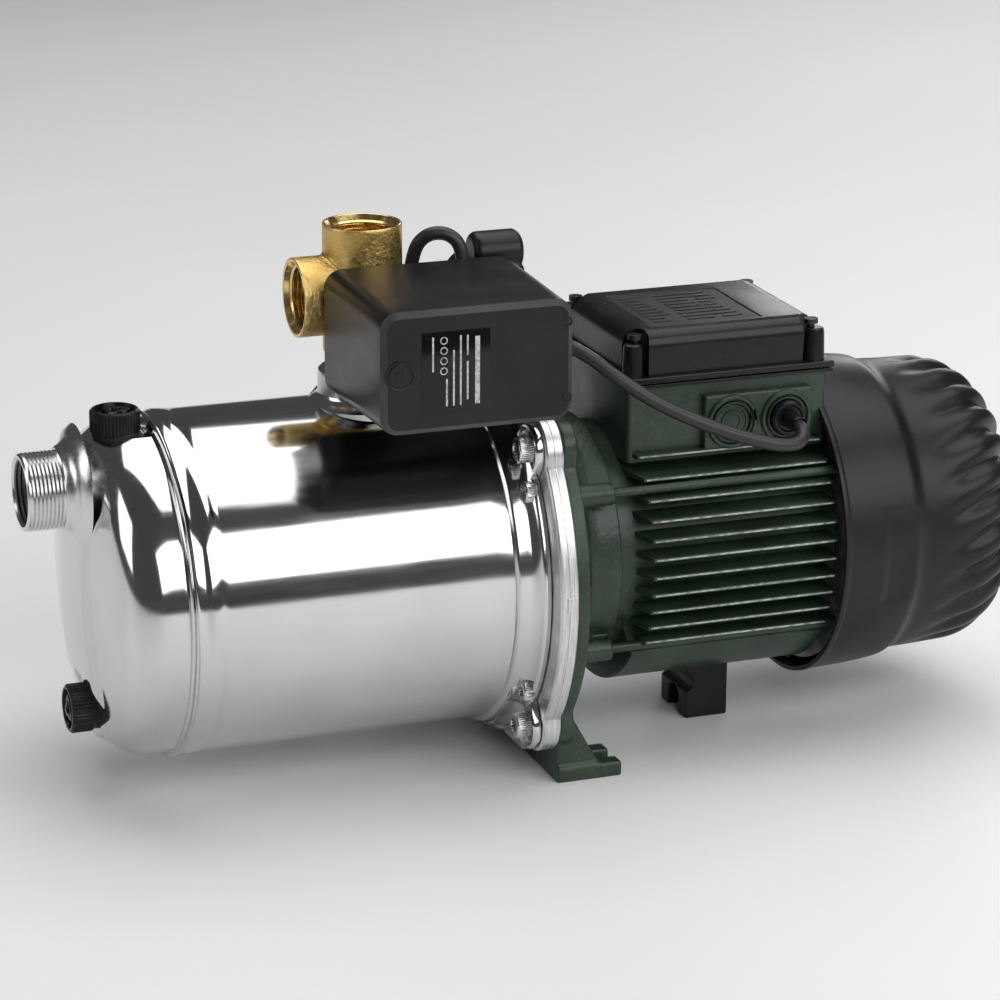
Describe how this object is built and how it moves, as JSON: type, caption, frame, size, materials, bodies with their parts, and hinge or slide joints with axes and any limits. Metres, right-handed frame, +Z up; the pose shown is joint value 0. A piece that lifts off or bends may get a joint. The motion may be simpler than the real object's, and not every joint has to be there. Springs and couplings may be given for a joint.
{
  "type": "shallow well jet pump",
  "caption": "Self-priming jet pump: polished stainless casing, finned motor with terminal box and fan cover, and a brass tee carrying a boxed pressure switch.",
  "frame": {"origin": "on the floor, in the middle of the front foot's bar, below the shaft", "axes": "+X along the shaft from the suction port to the fan cover, +Z up, -Y the side with the pressure switch's cover"},
  "size_m": [0.526, 0.3078, 0.2817],
  "materials": {
    "stainless": "polished deep-drawn stainless steel",
    "plate_steel": "brushed stainless steel",
    "bright_steel": "bright turned and plated steel",
    "green_paint": "dark green paint on die-cast aluminium",
    "core_steel": "varnished laminated steel",
    "windings": "enamelled copper wire, tied and varnished",
    "dark_cast": "die-cast aluminium",
    "black_plastic": "satin black glass-filled plastic",
    "moulded_plug": "soft moulded black plastic",
    "cord_sheath": "black rubber sheath",
    "pale_plastic": "natural technopolymer",
    "seal_rubber": "nitrile rubber",
    "seal_ceramic": "lapped ceramic and carbon",
    "brass_cast": "sand-cast brass with machined port faces"
  },
  "bodies": {
    "root": {"pump_casing": "stainless", "suction_nozzle": "stainless", "discharge_nozzle": "stainless", "seal_plate": "plate_steel", "flange_bolts": "bright_steel", "plate_screws": "bright_steel", "bearing_outer_rings": "bright_steel", "wave_washer": "bright_steel", "tie_rods": "bright_steel", "pressure_springs": "bright_steel", "plug_pins": "bright_steel", "motor_bracket": "green_paint", "motor_frame": "green_paint", "stator_core": "core_steel", "stator_windings": "windings", "rear_end_shield": "dark_cast", "fan_cover": "black_plastic", "rear_foot": "black_plastic", "cable_gland": "black_plastic", "blanking_plug": "black_plastic", "switch_base": "black_plastic", "switch_glands": "black_plastic", "capacitor": "black_plastic", "mains_plug": "moulded_plug", "motor_lead": "cord_sheath", "mains_cord": "cord_sheath", "plug_tail": "cord_sheath", "cord_coil": "cord_sheath", "diffuser": "pale_plastic", "ejector_tube": "pale_plastic", "jet_nozzle": "pale_plastic", "suction_bend": "pale_plastic", "contact_block": "pale_plastic", "terminal_block": "pale_plastic", "ejector_seal": "seal_rubber", "casing_seal": "seal_rubber", "terminal_box_gasket": "seal_rubber", "switch_diaphragm": "seal_rubber", "seal_seat": "seal_ceramic", "brass_manifold": "brass_cast"},
    "rotor": {"motor_shaft": "bright_steel", "rotor_core": "bright_steel", "impeller": "pale_plastic", "impeller_nut": "bright_steel", "seal_head": "seal_ceramic", "seal_spring": "bright_steel", "bearing_inner_rings": "bright_steel", "bearing_balls": "bright_steel", "water_slinger": "seal_rubber", "cooling_fan": "black_plastic"},
    "filler": {"filler_plug": "black_plastic", "filler_plug_seal": "seal_rubber"},
    "drain": {"drain_plug": "black_plastic", "drain_plug_seal": "seal_rubber"},
    "box_lid": {"terminal_box_lid": "black_plastic", "lid_screws": "bright_steel"},
    "switch_lid": {"switch_cover": "black_plastic", "cover_screw": "bright_steel"},
    "lever": {"auto_off_lever": "black_plastic"},
    "plunger": {"contact_plunger": "pale_plastic"}
  },
  "joints": [
    {"name": "shaft_spin", "type": "hinge", "parent": "root", "child": "rotor", "pos_m": [0, 0, 0.104], "axis": [1, 0, 0], "continuous": true},
    {"name": "filler_plug_out", "type": "slide", "parent": "root", "child": "filler", "axis": [0, 0, 1], "range_m": [0, 0.024]},
    {"name": "drain_plug_out", "type": "slide", "parent": "root", "child": "drain", "axis": [-1, 0, 0], "range_m": [0, 0.024]},
    {"name": "box_lid_off", "type": "slide", "parent": "root", "child": "box_lid", "axis": [0, 0, 1], "range_m": [0, 0.04]},
    {"name": "switch_cover_off", "type": "slide", "parent": "root", "child": "switch_lid", "axis": [0, -1, 0], "range_m": [0, 0.09]},
    {"name": "auto_off_turn", "type": "hinge", "parent": "switch_lid", "child": "lever", "pos_m": [-0.0135, -0.088, 0.23375], "axis": [1, 0, 0], "range_deg": [-110, 0]},
    {"name": "plunger_push", "type": "slide", "parent": "root", "child": "plunger", "axis": [0, -1, 0], "range_m": [0, 0.0015]}
  ]
}
